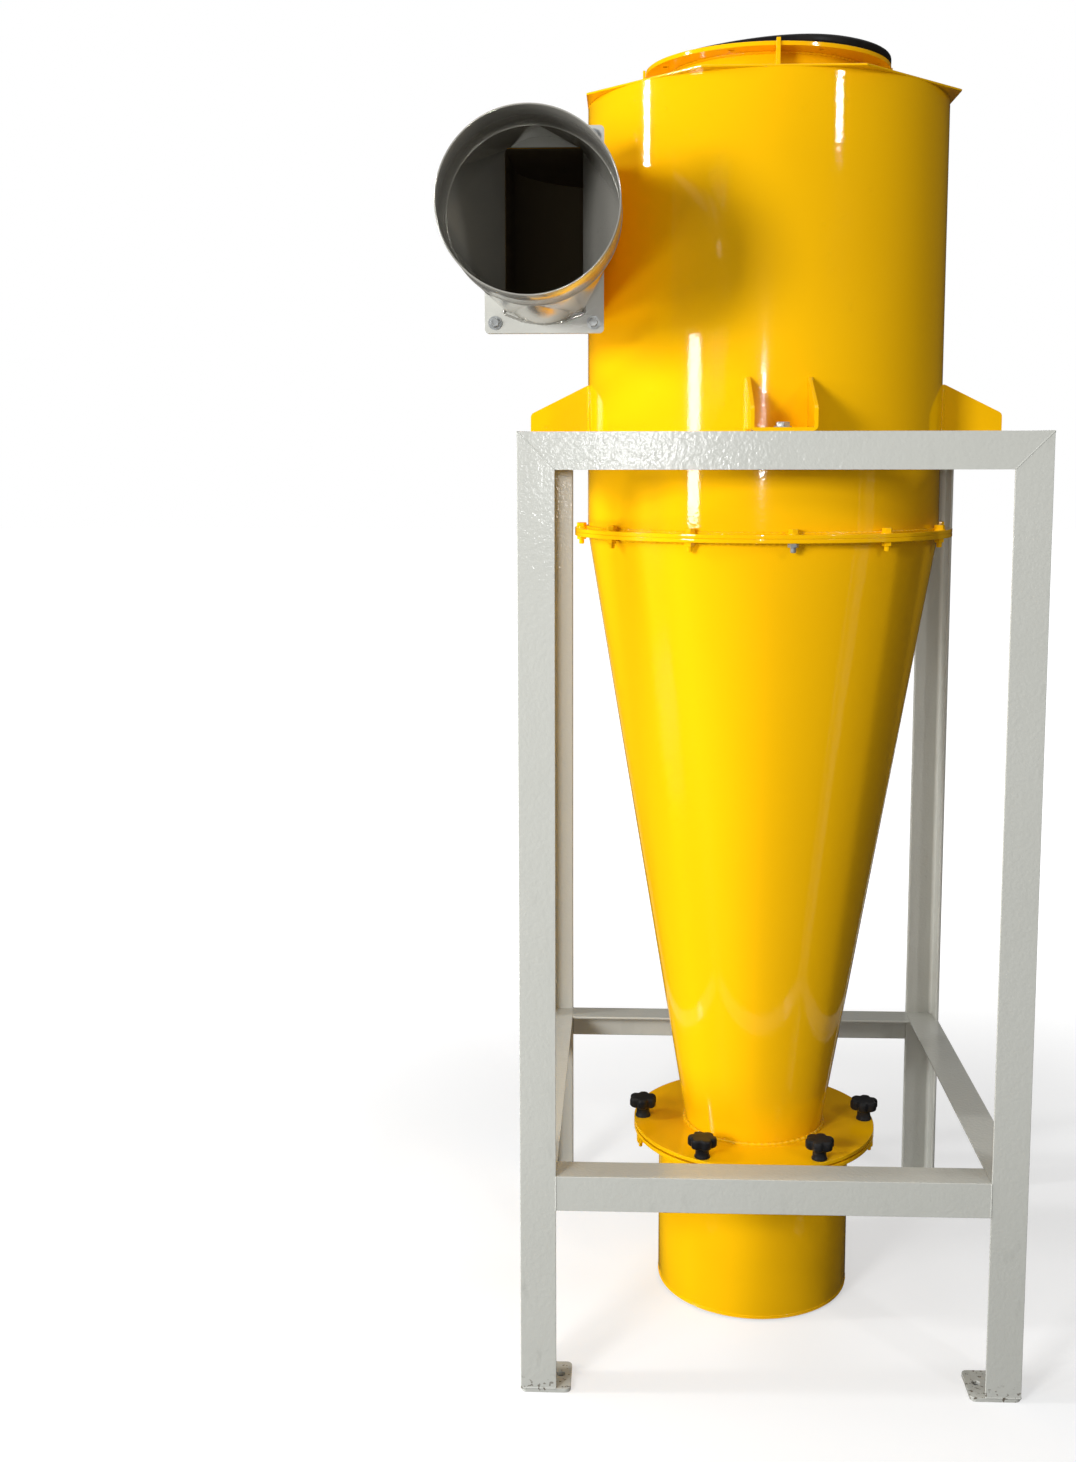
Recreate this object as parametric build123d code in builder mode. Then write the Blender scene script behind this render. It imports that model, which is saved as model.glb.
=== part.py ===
"""Cyclone separator with a tangential inlet, a clamped dust bin and an angle-iron stand.

The frame has +Z up and its origin on the floor, on the cyclone's axis. The front of the stand faces -Y.
"""

import os
from math import cos, radians, sin, sqrt

from build123d import *

os.makedirs("parts", exist_ok=True)

# Stand of rolled equal-leg steel angle, outside sizes
stand_side = 700.0
stand_height = 1345.0
angle_leg = 50.0
angle_wall = 5.0
angle_root_radius = 6.0
angle_toe_radius = 3.0
lower_ring_top = 320.0

# Foot plates with one anchor hole each, set in from the stand's outer corner
foot_side = 70.0
foot_thickness = 6.0
foot_corner_radius = 8.0
anchor_hole_diameter = 12.0
anchor_inset_x = 55.0
anchor_inset_y = 38.0

# Sheet and plate
sheet = 3.0
flange_plate = 6.0
weld_gap = 0.2

# Barrel, cone and their bolted flanges; the joint hangs below the stand's top
barrel_diameter = 530.0
barrel_above_inlet = 105.0
body_joint_drop = 144.0
body_flange_width = 20.0
body_bolt_count = 12
body_bolt_hole = 9.0
body_bolt_turn = 4.5
cone_outlet_diameter = 213.0
clamp_joint = 258.0

# Outlet on top of the barrel; its pipe dips below the inlet, bolts lie between pipe and rim
outlet_diameter = 290.0
outlet_dip = 16.0
outlet_rise = 51.0
outlet_bolt_inset = 19.0
outlet_bolt_edge = 16.0
outlet_bolt_count = 8
outlet_bolt_hole = 9.0
gusset_count = 4
gusset_plate = 6.0
gusset_proud = 4.0
gasket_inset = 8.0
gasket_width = 18.0
gasket_thickness = 14.0
gasket_shift = 8.0

# Dust bin and the six star knobs that clamp it, between the bin's wall and the flanges' rim
bin_diameter = 300.0
bin_floor_gap = 4.0
seal_thickness = 3.0
seal_width = 14.0
knob_inset = 26.0
knob_edge = 14.0
knob_count = 6
knob_lobes = 6
knob_lobe_circle = 31.0
knob_lobe_diameter = 13.0
knob_core_diameter = 33.0
knob_head_height = 14.0
knob_hub_diameter = 21.0
knob_hub_height = 18.0
knob_rim_radius = 2.5
stud_diameter = 8.0
stud_tail = 6.0
stud_clearance = 0.5
nut_across_flats = 13.0
nut_height = 6.5

# Tangential inlet, clear sizes of the duct, its height above the brackets and its bend into the barrel
inlet_width = 105.0
inlet_height = 216.0
inlet_above_brackets = 87.0
inlet_bend_radius = 200.0
inlet_bend_start = 120.0
inlet_flange_margin = 28.0
inlet_flange_plate = 5.0
inlet_flange_corner = 6.0
inlet_bolt_edge = 14.0
inlet_bolt_hole = 9.0

# Transition from the rectangular duct to the round spigot, which sits a little off its centre
transition_sheet = 2.0
transition_length = 165.0
transition_corner = 8.0
transition_crown = 14.0
transition_flat_angle = 4.0
spigot_diameter = 220.0
spigot_length = 115.0
spigot_offset_x = -4.5
spigot_offset_z = -5.0

# Folded brackets that carry the barrel on the top ring
bracket_width = 88.0
bracket_plate = 5.0
bracket_root_height = 74.0
bracket_tip_height = 32.0
bracket_tip_radius = 8.0
bracket_bend_radius = 7.0
bracket_bolt_hole = 11.0

# Places that follow from the sizes above
half = stand_side / 2
inlet_low = stand_height + bracket_root_height + inlet_above_brackets
inlet_high = inlet_low + inlet_height
inlet_centre_height = (inlet_low + inlet_high) / 2
barrel_radius = barrel_diameter / 2
barrel_top = inlet_high + barrel_above_inlet
body_joint = stand_height - body_joint_drop
body_flange_radius = barrel_radius + body_flange_width
body_bolt_radius = barrel_radius + body_flange_width / 2
barrel_shell_top = barrel_top - sheet
outlet_radius = outlet_diameter / 2
outlet_foot = inlet_low - outlet_dip
outlet_top = barrel_top + outlet_rise
outlet_ring_base = outlet_top - flange_plate
outlet_bolt_radius = outlet_radius + outlet_bolt_inset
outlet_flange_radius = outlet_bolt_radius + outlet_bolt_edge
gasket_radius = outlet_flange_radius - gasket_inset
bin_radius = bin_diameter / 2
bin_flange_top = clamp_joint - seal_thickness
bin_flange_base = bin_flange_top - flange_plate
cone_flange_top = clamp_joint + flange_plate
knob_radius = bin_radius + knob_inset
clamp_flange_radius = knob_radius + knob_edge
stud_hole = stud_diameter + 2 * stud_clearance
inlet_axis_x = -(barrel_radius + inlet_width / 2)
inlet_joint_y = -barrel_radius
scroll_left = -(barrel_radius + inlet_width + sheet)
bend_x = scroll_left + inlet_bend_radius
bend_y = -inlet_bend_start
duct_start_y = inlet_joint_y + inlet_flange_plate
spigot_axis_x = inlet_axis_x + spigot_offset_x
spigot_axis_z = inlet_centre_height + spigot_offset_z
bracket_bolt_radius = half - angle_leg / 2

corners = {
    "front_left": (-1, -1),
    "front_right": (1, -1),
    "back_left": (-1, 1),
    "back_right": (1, 1),
}
sides = {"front": -90, "back": 90, "left": 180, "right": 0}


def write(piece, name):
    """Labels a finished piece and writes its STEP file."""
    piece.part.label = name
    export_step(piece.part, f"parts/{name}.step")


def direction(angle):
    """Unit vector in plan at an angle from +X."""
    return (cos(radians(angle)), sin(radians(angle)), 0)


def rail_plane(angle):
    """Upright plane across the axis: local x runs outward at the angle, local y is up."""
    outward = Vector(*direction(angle))
    return Plane(origin=(0, 0, 0), x_dir=outward, z_dir=(outward.Y, -outward.X, 0))


def ring(outer_radius, inner_radius, base, thickness):
    """Flat ring about the axis, added to the open part."""
    with BuildSketch(Plane.XY.offset(base)) as band:
        Circle(outer_radius)
        Circle(inner_radius, mode=Mode.SUBTRACT)
    extrude(band.sketch, amount=thickness)


def bolt_circle(radius, count, hole_diameter, base, thickness, start_angle):
    """Round holes on a circle about the axis, cut from the open part."""
    with BuildSketch(Plane.XY.offset(base)) as holes:
        with PolarLocations(radius, count, start_angle=start_angle):
            Circle(hole_diameter / 2)
    extrude(holes.sketch, amount=thickness, mode=Mode.SUBTRACT)


def angle_section(section, heel_x, heel_y, way_x, way_y):
    """Rolled angle in the open sketch: heel at a point, legs running the two ways, root and toes round."""
    tip_x = heel_x + way_x * angle_leg
    tip_y = heel_y + way_y * angle_leg
    wall_x = heel_x + way_x * angle_wall
    wall_y = heel_y + way_y * angle_wall
    with BuildLine() as outline:
        Polyline(
            (heel_x, heel_y),
            (tip_x, heel_y),
            (tip_x, wall_y),
            (wall_x, wall_y),
            (wall_x, tip_y),
            (heel_x, tip_y),
            close=True,
        )
    make_face(outline.edges())
    fillet(section.vertices().sort_by_distance((wall_x, wall_y))[0], angle_root_radius)
    for toe in ((tip_x, wall_y), (wall_x, tip_y)):
        fillet(section.vertices().sort_by_distance(toe)[0], angle_toe_radius)


# Posts: angle with its heel at the stand's outer corner, mitred three ways at the top
for corner, (sx, sy) in corners.items():
    crown = (sx * half, sy * half, stand_height)
    with BuildPart() as post:
        with BuildSketch(Plane.XY.offset(foot_thickness)) as section:
            angle_section(section, sx * half, sy * half, -sx, -sy)
        extrude(amount=stand_height - foot_thickness)
        split(bisect_by=Plane(origin=crown, z_dir=(sx, 0, -1)), keep=Keep.TOP)
        split(bisect_by=Plane(origin=crown, z_dir=(0, sy, -1)), keep=Keep.TOP)
    write(post, f"post_{corner}")

    plate_x = sx * (half - foot_side / 2)
    plate_y = sy * (half - foot_side / 2)
    with BuildPart() as foot:
        with BuildSketch():
            with Locations((plate_x, plate_y)):
                RectangleRounded(foot_side, foot_side, foot_corner_radius)
            with Locations((sx * (half - anchor_inset_x), sy * (half - anchor_inset_y))):
                Circle(anchor_hole_diameter / 2, mode=Mode.SUBTRACT)
        extrude(amount=foot_thickness)
    write(foot, f"foot_{corner}")

# Rails: angle with its heel on the stand's top outer edge
for side, turn in sides.items():
    across = rail_plane(turn)
    outward = across.x_dir
    along = across.z_dir

    with BuildPart() as top_rail:
        with BuildSketch(across) as section:
            angle_section(section, half, stand_height, -1, -1)
        extrude(amount=half, both=True)
        for end in (-1, 1):
            crown = outward * half + along * (end * half) + Vector(0, 0, stand_height)
            split(bisect_by=Plane(origin=crown, z_dir=Vector(0, 0, 1) - along * end), keep=Keep.TOP)
            split(bisect_by=Plane(origin=crown, z_dir=outward - along * end), keep=Keep.TOP)
        bolt_spot = outward * bracket_bolt_radius
        with BuildSketch(Plane.XY.offset(stand_height - angle_wall)):
            with Locations((bolt_spot.X, bolt_spot.Y)):
                Circle(bracket_bolt_hole / 2)
        extrude(amount=angle_wall, mode=Mode.SUBTRACT)
    write(top_rail, f"top_rail_{side}")

    with BuildPart() as lower_rail:
        with BuildSketch(across) as section:
            angle_section(section, half, lower_ring_top, -1, -1)
        extrude(amount=half - angle_leg, both=True)
        if side in ("left", "right"):
            # The side rails' top legs run on into the corners of the posts, clear of the posts' roots
            with BuildSketch(Plane.XY.offset(lower_ring_top - angle_wall)):
                for end in (-1, 1):
                    tongue = outward * (half - angle_wall) + along * (end * (half - angle_leg))
                    inner = outward * (half - angle_leg) + along * (end * (half - angle_wall))
                    with Locations((tongue + inner) / 2):
                        Rectangle(abs(inner.X - tongue.X), abs(inner.Y - tongue.Y))
                    root = outward * (half - angle_wall) + along * (end * (half - angle_wall))
                    with Locations(root):
                        Rectangle(2 * angle_root_radius, 2 * angle_root_radius, rotation=45, mode=Mode.SUBTRACT)
            extrude(amount=angle_wall)
    write(lower_rail, f"lower_rail_{side}")

    # Bracket: folded U plate, its cheeks falling from the barrel to the rail's edge
    with BuildPart() as bracket:
        root = barrel_radius - bracket_width / 2
        with BuildSketch(across) as cheek:
            with BuildLine():
                Polyline(
                    (root, stand_height),
                    (half, stand_height),
                    (half, stand_height + bracket_tip_height),
                    (barrel_radius, stand_height + bracket_root_height),
                    (root, stand_height + bracket_root_height),
                    close=True,
                )
            make_face()
            tip_corner = cheek.vertices().group_by(Axis.X)[-1].sort_by(Axis.Y)[-1]
            fillet(tip_corner, bracket_tip_radius)
        extrude(amount=bracket_width / 2, both=True)
        fold_edges = bracket.edges().filter_by(Axis((0, 0, 0), outward)).group_by(Axis.Z)[0]
        fillet(fold_edges, bracket_bend_radius)
        with BuildSketch(across):
            with BuildLine():
                Polyline(
                    (root, stand_height + bracket_plate),
                    (half, stand_height + bracket_plate),
                    (half, stand_height + bracket_root_height),
                    (root, stand_height + bracket_root_height),
                    close=True,
                )
            make_face()
        extrude(amount=bracket_width / 2 - bracket_plate, both=True, mode=Mode.SUBTRACT)
        with BuildSketch(Plane.XY.offset(stand_height)):
            Circle(barrel_radius + weld_gap)
            with Locations((bolt_spot.X, bolt_spot.Y)):
                Circle(bracket_bolt_hole / 2)
        extrude(amount=bracket_root_height, mode=Mode.SUBTRACT)
    write(bracket, f"bracket_{side}")

# Barrel: rolled shell, open on the left between the inner wall of the inlet and the bend of the outer one
window_front = -sqrt((barrel_radius + weld_gap) ** 2 - (barrel_radius - sheet) ** 2)
bend_reach = sqrt(bend_x ** 2 + bend_y ** 2)
bend_inside = inlet_bend_radius - sheet
chord_reach = (bend_reach ** 2 + barrel_radius ** 2 - bend_inside ** 2) / (2 * bend_reach)
chord_half = sqrt(barrel_radius ** 2 - chord_reach ** 2)
window_back = (chord_reach * bend_y - chord_half * bend_x) / bend_reach
with BuildPart() as barrel:
    ring(barrel_radius, barrel_radius - sheet, body_joint, barrel_shell_top - body_joint)
    with BuildSketch(Plane.XY.offset(inlet_low)):
        with Locations((-barrel_radius, (window_front + window_back) / 2)):
            Rectangle(barrel_radius, window_back - window_front)
    extrude(amount=inlet_height, mode=Mode.SUBTRACT)
write(barrel, "barrel")

# Top plate: eight-sided, its flats on the barrel's outside
with BuildPart() as top_plate:
    with BuildSketch(Plane.XY.offset(barrel_shell_top)):
        RegularPolygon(barrel_radius, 8, major_radius=False, rotation=22.5)
        Circle(outlet_radius + weld_gap, mode=Mode.SUBTRACT)
    extrude(amount=sheet)
write(top_plate, "top_plate")

# Outlet pipe: hangs inside the barrel to just below the inlet
with BuildPart() as outlet_pipe:
    ring(outlet_radius, outlet_radius - sheet, outlet_foot, outlet_top - outlet_foot)
write(outlet_pipe, "outlet_pipe")

# Outlet flange: drilled ring round the top of the pipe
with BuildPart() as outlet_flange:
    ring(outlet_flange_radius, outlet_radius + weld_gap, outlet_ring_base, flange_plate)
    bolt_circle(
        outlet_bolt_radius, outlet_bolt_count, outlet_bolt_hole, outlet_ring_base, flange_plate,
        180 / outlet_bolt_count,
    )
write(outlet_flange, "outlet_flange")

# Outlet gussets: plates under the flange, each with a small upstand past its rim
with BuildPart() as outlet_gussets:
    for step in range(gusset_count):
        with BuildSketch(rail_plane(step * 360 / gusset_count)):
            with BuildLine():
                Polyline(
                    (outlet_radius + weld_gap, barrel_top),
                    (outlet_flange_radius + gusset_proud, barrel_top),
                    (outlet_flange_radius + gusset_proud, outlet_top + gusset_proud),
                    (outlet_flange_radius + weld_gap, outlet_top + gusset_proud),
                    (outlet_flange_radius + weld_gap, outlet_ring_base),
                    (outlet_radius + weld_gap, outlet_ring_base),
                    close=True,
                )
            make_face()
        extrude(amount=gusset_plate / 2, both=True)
write(outlet_gussets, "outlet_gussets")

# Outlet gasket: loose rubber ring on the flange, pushed a little to one side
with BuildPart() as outlet_gasket:
    with BuildSketch(Plane.XY.offset(outlet_top)):
        with Locations((gasket_shift, 0)):
            Circle(gasket_radius)
            Circle(gasket_radius - gasket_width, mode=Mode.SUBTRACT)
    extrude(amount=gasket_thickness)
write(outlet_gasket, "outlet_gasket")

# Bolted flanges between the barrel and the cone
body_flanges = {"barrel_flange": body_joint, "cone_flange": body_joint - flange_plate}
for name, base in body_flanges.items():
    with BuildPart() as body_flange:
        ring(body_flange_radius, barrel_radius + weld_gap, base, flange_plate)
        bolt_circle(
            body_bolt_radius, body_bolt_count, body_bolt_hole, base, flange_plate, body_bolt_turn - 90,
        )
    write(body_flange, name)

# Cone: rolled shell from the barrel's width down to its outlet
with BuildPart() as cone:
    with BuildSketch(Plane.XZ):
        with BuildLine():
            Polyline(
                (barrel_radius, body_joint),
                (barrel_radius - sheet, body_joint),
                (cone_outlet_diameter / 2 - sheet, clamp_joint),
                (cone_outlet_diameter / 2, clamp_joint),
                close=True,
            )
        make_face()
    revolve(axis=Axis.Z)
write(cone, "cone")

# Flange at the foot of the cone and the bin's matching flange
cone_slope = (barrel_radius - cone_outlet_diameter / 2) / (body_joint - clamp_joint)
cone_hole_radius = cone_outlet_diameter / 2 + cone_slope * flange_plate + weld_gap
with BuildPart() as cone_outlet_flange:
    ring(clamp_flange_radius, cone_hole_radius, clamp_joint, flange_plate)
    bolt_circle(knob_radius, knob_count, stud_hole, clamp_joint, flange_plate, 0)
write(cone_outlet_flange, "cone_outlet_flange")

with BuildPart() as bin_flange:
    ring(clamp_flange_radius, bin_radius + weld_gap, bin_flange_base, flange_plate)
    bolt_circle(knob_radius, knob_count, stud_hole, bin_flange_base, flange_plate, 0)
write(bin_flange, "bin_flange")

# Seal ring between the two clamp flanges, inside the studs
with BuildPart() as bin_seal:
    seal_radius = knob_radius - stud_hole
    ring(seal_radius, seal_radius - seal_width, bin_flange_top, seal_thickness)
write(bin_seal, "bin_seal")

# Dust bin: open-topped drum with its own bottom disc
with BuildPart() as dust_bin:
    bin_wall_base = bin_floor_gap + sheet
    ring(bin_radius, bin_radius - sheet, bin_wall_base, bin_flange_top - bin_wall_base)
write(dust_bin, "dust_bin")

with BuildPart() as bin_bottom:
    with BuildSketch(Plane.XY.offset(bin_floor_gap)):
        Circle(bin_radius)
    extrude(amount=sheet)
write(bin_bottom, "bin_bottom")

# Star knobs: lobed head on a round hub, with a stud through both clamp flanges
with BuildPart() as clamp_knobs:
    head_base = cone_flange_top + knob_hub_height
    with BuildSketch(Plane.XY.offset(head_base)) as head:
        with PolarLocations(knob_radius, knob_count):
            Circle(knob_core_diameter / 2)
            with PolarLocations(knob_lobe_circle / 2, knob_lobes):
                Circle(knob_lobe_diameter / 2)
    extrude(amount=knob_head_height)
    crown_edges = clamp_knobs.edges().group_by(Axis.Z)[-1]
    fillet(crown_edges, knob_rim_radius)
    with BuildSketch(Plane.XY.offset(cone_flange_top)):
        with PolarLocations(knob_radius, knob_count):
            Circle(knob_hub_diameter / 2)
    extrude(amount=knob_hub_height)
    stud_foot = bin_flange_base - nut_height - stud_tail
    with BuildSketch(Plane.XY.offset(stud_foot)):
        with PolarLocations(knob_radius, knob_count):
            Circle(stud_diameter / 2)
    extrude(amount=cone_flange_top - stud_foot)
write(clamp_knobs, "clamp_knobs")

# Nuts on the studs, under the bin's flange
with BuildPart() as clamp_nuts:
    with BuildSketch(Plane.XY.offset(bin_flange_base - nut_height)):
        with PolarLocations(knob_radius, knob_count):
            RegularPolygon(nut_across_flats / 2, 6, major_radius=False)
            Circle(stud_hole / 2, mode=Mode.SUBTRACT)
    extrude(amount=nut_height)
write(clamp_nuts, "clamp_nuts")


def scroll_outline(inset):
    """Inlet in plan, from its joint straight along the outer wall and round the bend into the barrel."""
    left = scroll_left + inset
    reach = inlet_bend_radius - inset
    slant = reach * sqrt(0.5)
    back = bend_y + reach
    with BuildLine() as outline:
        Line((0, duct_start_y), (left, duct_start_y))
        Line((left, duct_start_y), (left, bend_y))
        ThreePointArc((left, bend_y), (bend_x - slant, bend_y + slant), (bend_x, back))
        Polyline((bend_x, back), (0, back), (0, duct_start_y))
    make_face(outline.edges())


# Outer wall of the inlet: straight beside the duct, then bent into the barrel
with BuildPart() as scroll_wall:
    with BuildSketch(Plane.XY.offset(inlet_low)):
        scroll_outline(0)
    extrude(amount=inlet_height)
    with BuildSketch(Plane.XY.offset(inlet_low)):
        scroll_outline(sheet)
        Circle(barrel_radius + weld_gap)
    extrude(amount=inlet_height, mode=Mode.SUBTRACT)
write(scroll_wall, "scroll_wall")

# Roof and floor of the inlet: flat plates from the barrel out over the wall
for name, base in {"scroll_top": inlet_high, "scroll_bottom": inlet_low - sheet}.items():
    with BuildPart() as scroll_plate:
        with BuildSketch(Plane.XY.offset(base)):
            scroll_outline(0)
            Circle(barrel_radius + weld_gap, mode=Mode.SUBTRACT)
            with Locations((0, duct_start_y)):
                Rectangle(2 * (barrel_radius - sheet), -2 * duct_start_y, mode=Mode.SUBTRACT)
        extrude(amount=sheet)
    write(scroll_plate, name)

# Inner wall of the duct, up to where it meets the barrel
with BuildPart() as inlet_inner_wall:
    with BuildSketch(Plane.XY.offset(inlet_low)):
        with Locations((-barrel_radius + sheet / 2, (duct_start_y + window_front) / 2)):
            Rectangle(sheet, window_front - duct_start_y)
    extrude(amount=inlet_height)
write(inlet_inner_wall, "inlet_inner_wall")

# The two bolted flanges of the inlet
inlet_flanges = {"inlet_flange": -inlet_joint_y, "transition_flange": -inlet_joint_y + inlet_flange_plate}
for name, front in inlet_flanges.items():
    with BuildPart() as plate:
        with BuildSketch(Plane.XZ.offset(front - inlet_flange_plate)):
            with Locations((inlet_axis_x, inlet_centre_height)):
                RectangleRounded(
                    inlet_width + 2 * inlet_flange_margin,
                    inlet_height + 2 * inlet_flange_margin,
                    inlet_flange_corner,
                )
                Rectangle(inlet_width, inlet_height, mode=Mode.SUBTRACT)
                with GridLocations(
                    inlet_width + 2 * (inlet_flange_margin - inlet_bolt_edge),
                    inlet_height + 2 * (inlet_flange_margin - inlet_bolt_edge),
                    2,
                    2,
                ):
                    Circle(inlet_bolt_hole / 2, mode=Mode.SUBTRACT)
        extrude(amount=inlet_flange_plate)
    write(plate, name)


def duct_section(width, height, corner):
    """Rectangle with round corners and bowed ends, in eight edges from the right side."""
    x, z = inlet_axis_x, inlet_centre_height
    flat_x = width / 2 - corner
    flat_z = height / 2 - corner
    low = z - height / 2
    high = z + height / 2
    with BuildLine() as outline:
        Line((x + width / 2, z - flat_z), (x + width / 2, z + flat_z))
        CenterArc((x + flat_x, z + flat_z), corner, 0, 90)
        ThreePointArc((x + flat_x, high), (x, high + transition_crown), (x - flat_x, high))
        CenterArc((x - flat_x, z + flat_z), corner, 90, 90)
        Line((x - width / 2, z + flat_z), (x - width / 2, z - flat_z))
        CenterArc((x - flat_x, z - flat_z), corner, 180, 90)
        ThreePointArc((x - flat_x, low), (x, low - transition_crown), (x + flat_x, low))
        CenterArc((x + flat_x, z - flat_z), corner, 270, 90)
    make_face(outline.edges())


def round_section(radius):
    """Circle in eight arcs that match the duct section's edges."""
    centre = (spigot_axis_x, spigot_axis_z)
    short = 2 * transition_flat_angle
    with BuildLine() as outline:
        for quarter in range(4):
            start = quarter * 90 - transition_flat_angle
            CenterArc(centre, radius, start, short)
            CenterArc(centre, radius, start + short, 90 - short)
    make_face(outline.edges())


# Transition: rectangle to circle, flat triangles between conical corners
transition_base = -inlet_joint_y + inlet_flange_plate
transition_front = transition_base + transition_length
with BuildPart() as inlet_transition:
    with BuildSketch(Plane.XZ.offset(transition_base)):
        wrap = 2 * transition_sheet
        duct_section(inlet_width + wrap, inlet_height + wrap, transition_corner + transition_sheet)
    with BuildSketch(Plane.XZ.offset(transition_front)):
        round_section(spigot_diameter / 2)
    loft(ruled=True)
    with BuildSketch(Plane.XZ.offset(transition_base)):
        duct_section(inlet_width, inlet_height, transition_corner)
    with BuildSketch(Plane.XZ.offset(transition_front)):
        round_section(spigot_diameter / 2 - transition_sheet)
    loft(ruled=True, mode=Mode.SUBTRACT)
write(inlet_transition, "inlet_transition")

# Spigot: round collar that takes the hose or duct
with BuildPart() as inlet_spigot:
    with BuildSketch(Plane.XZ.offset(transition_front)):
        with Locations((spigot_axis_x, spigot_axis_z)):
            Circle(spigot_diameter / 2)
            Circle(spigot_diameter / 2 - transition_sheet, mode=Mode.SUBTRACT)
    extrude(amount=spigot_length)
write(inlet_spigot, "inlet_spigot")
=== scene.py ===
"""Looks of a cyclone separator on its angle-iron stand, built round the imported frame."""

import logging
import math
from dataclasses import dataclass
from enum import Enum
from typing import Optional, Sequence, Union

import bmesh
import bpy
from mathutils import Matrix, Vector


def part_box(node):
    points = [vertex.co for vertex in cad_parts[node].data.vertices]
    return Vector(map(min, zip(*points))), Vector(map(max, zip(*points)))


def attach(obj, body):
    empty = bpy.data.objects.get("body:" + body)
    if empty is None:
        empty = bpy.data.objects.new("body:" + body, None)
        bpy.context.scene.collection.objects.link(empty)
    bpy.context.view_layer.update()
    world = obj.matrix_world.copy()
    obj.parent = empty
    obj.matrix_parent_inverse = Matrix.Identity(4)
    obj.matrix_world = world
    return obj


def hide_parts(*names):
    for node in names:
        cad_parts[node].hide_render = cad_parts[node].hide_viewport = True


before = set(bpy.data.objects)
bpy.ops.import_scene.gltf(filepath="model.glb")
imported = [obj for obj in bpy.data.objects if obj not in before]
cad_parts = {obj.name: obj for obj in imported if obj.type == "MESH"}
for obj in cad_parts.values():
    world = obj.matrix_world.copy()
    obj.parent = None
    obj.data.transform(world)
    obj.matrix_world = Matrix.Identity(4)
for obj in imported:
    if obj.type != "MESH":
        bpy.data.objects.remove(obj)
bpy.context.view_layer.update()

log = logging.getLogger("cyclone_separator")

MM = 0.001
SPIN_STEPS = 160
BODY = "root"
FORWARD = Vector((0, -1, 0))

Number = Union[int, float]
Colour = tuple[float, float, float]
Point = tuple[float, float, float]
Profile = Sequence[tuple[float, float]]
Verts = list[bmesh.types.BMVert]
Edges = list[bmesh.types.BMEdge]

BLACK: Colour = (0.0, 0.0, 0.0)
WHITE: Colour = (1.0, 1.0, 1.0)


class Slot(Enum):
    """The record's material slots."""

    BODY_PAINT = "body_paint"
    STAND_PAINT = "stand_paint"
    DUCT_PAINT = "duct_paint"
    PLASTIC = "black_plastic"
    RUBBER = "black_rubber"
    ZINC = "zinc_steel"


class Side(Enum):
    """Sides of the stand, as degrees from +X in plan."""

    RIGHT = 0
    BACK = 90
    LEFT = 180
    FRONT = 270

    @property
    def label(self) -> str:
        """The side's name in node names."""
        return self.name.lower()


class Corner(Enum):
    """Corners of the stand, as signs of X and Y."""

    FRONT_LEFT = (-1, -1)
    FRONT_RIGHT = (1, -1)
    BACK_LEFT = (-1, 1)
    BACK_RIGHT = (1, 1)

    @property
    def label(self) -> str:
        """The corner's name in node names."""
        return self.name.lower()


class Val:
    """One shader socket; arithmetic on it adds Math nodes to its graph."""

    def __init__(self, graph: "Graph", socket: Optional[bpy.types.NodeSocket]) -> None:
        """Keeps the graph and the socket."""
        self.graph = graph
        self.socket = socket

    def _math(self, operation: str, first: "Val | Number", second: "Val | Number") -> "Val":
        """Adds one Math node.

        Args:
            operation: The Math node's operation.
            first: Left value.
            second: Right value.

        Returns:
            The node's result.
        """
        return self.graph.node("ShaderNodeMath", {"operation": operation}, {0: first, 1: second})

    def __add__(self, other: "Val | Number") -> "Val":
        """Sum."""
        return self._math("ADD", self, other)

    def __radd__(self, other: Number) -> "Val":
        """Sum with a number on the left."""
        return self._math("ADD", other, self)

    def __sub__(self, other: "Val | Number") -> "Val":
        """Difference."""
        return self._math("SUBTRACT", self, other)

    def __rsub__(self, other: Number) -> "Val":
        """Difference from a number."""
        return self._math("SUBTRACT", other, self)

    def __mul__(self, other: "Val | Number") -> "Val":
        """Product."""
        return self._math("MULTIPLY", self, other)

    def __rmul__(self, other: Number) -> "Val":
        """Product with a number on the left."""
        return self._math("MULTIPLY", other, self)

    def over(self, low: float, high: float) -> "Val":
        """Smooth step that is 0 below low and 1 above high.

        Args:
            low: Value that gives 0.
            high: Value that gives 1.

        Returns:
            The stepped value.
        """
        sockets = {"Value": self, "From Min": low, "From Max": high}
        return self.graph.node("ShaderNodeMapRange", {"interpolation_type": "SMOOTHSTEP"}, sockets)


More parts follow.
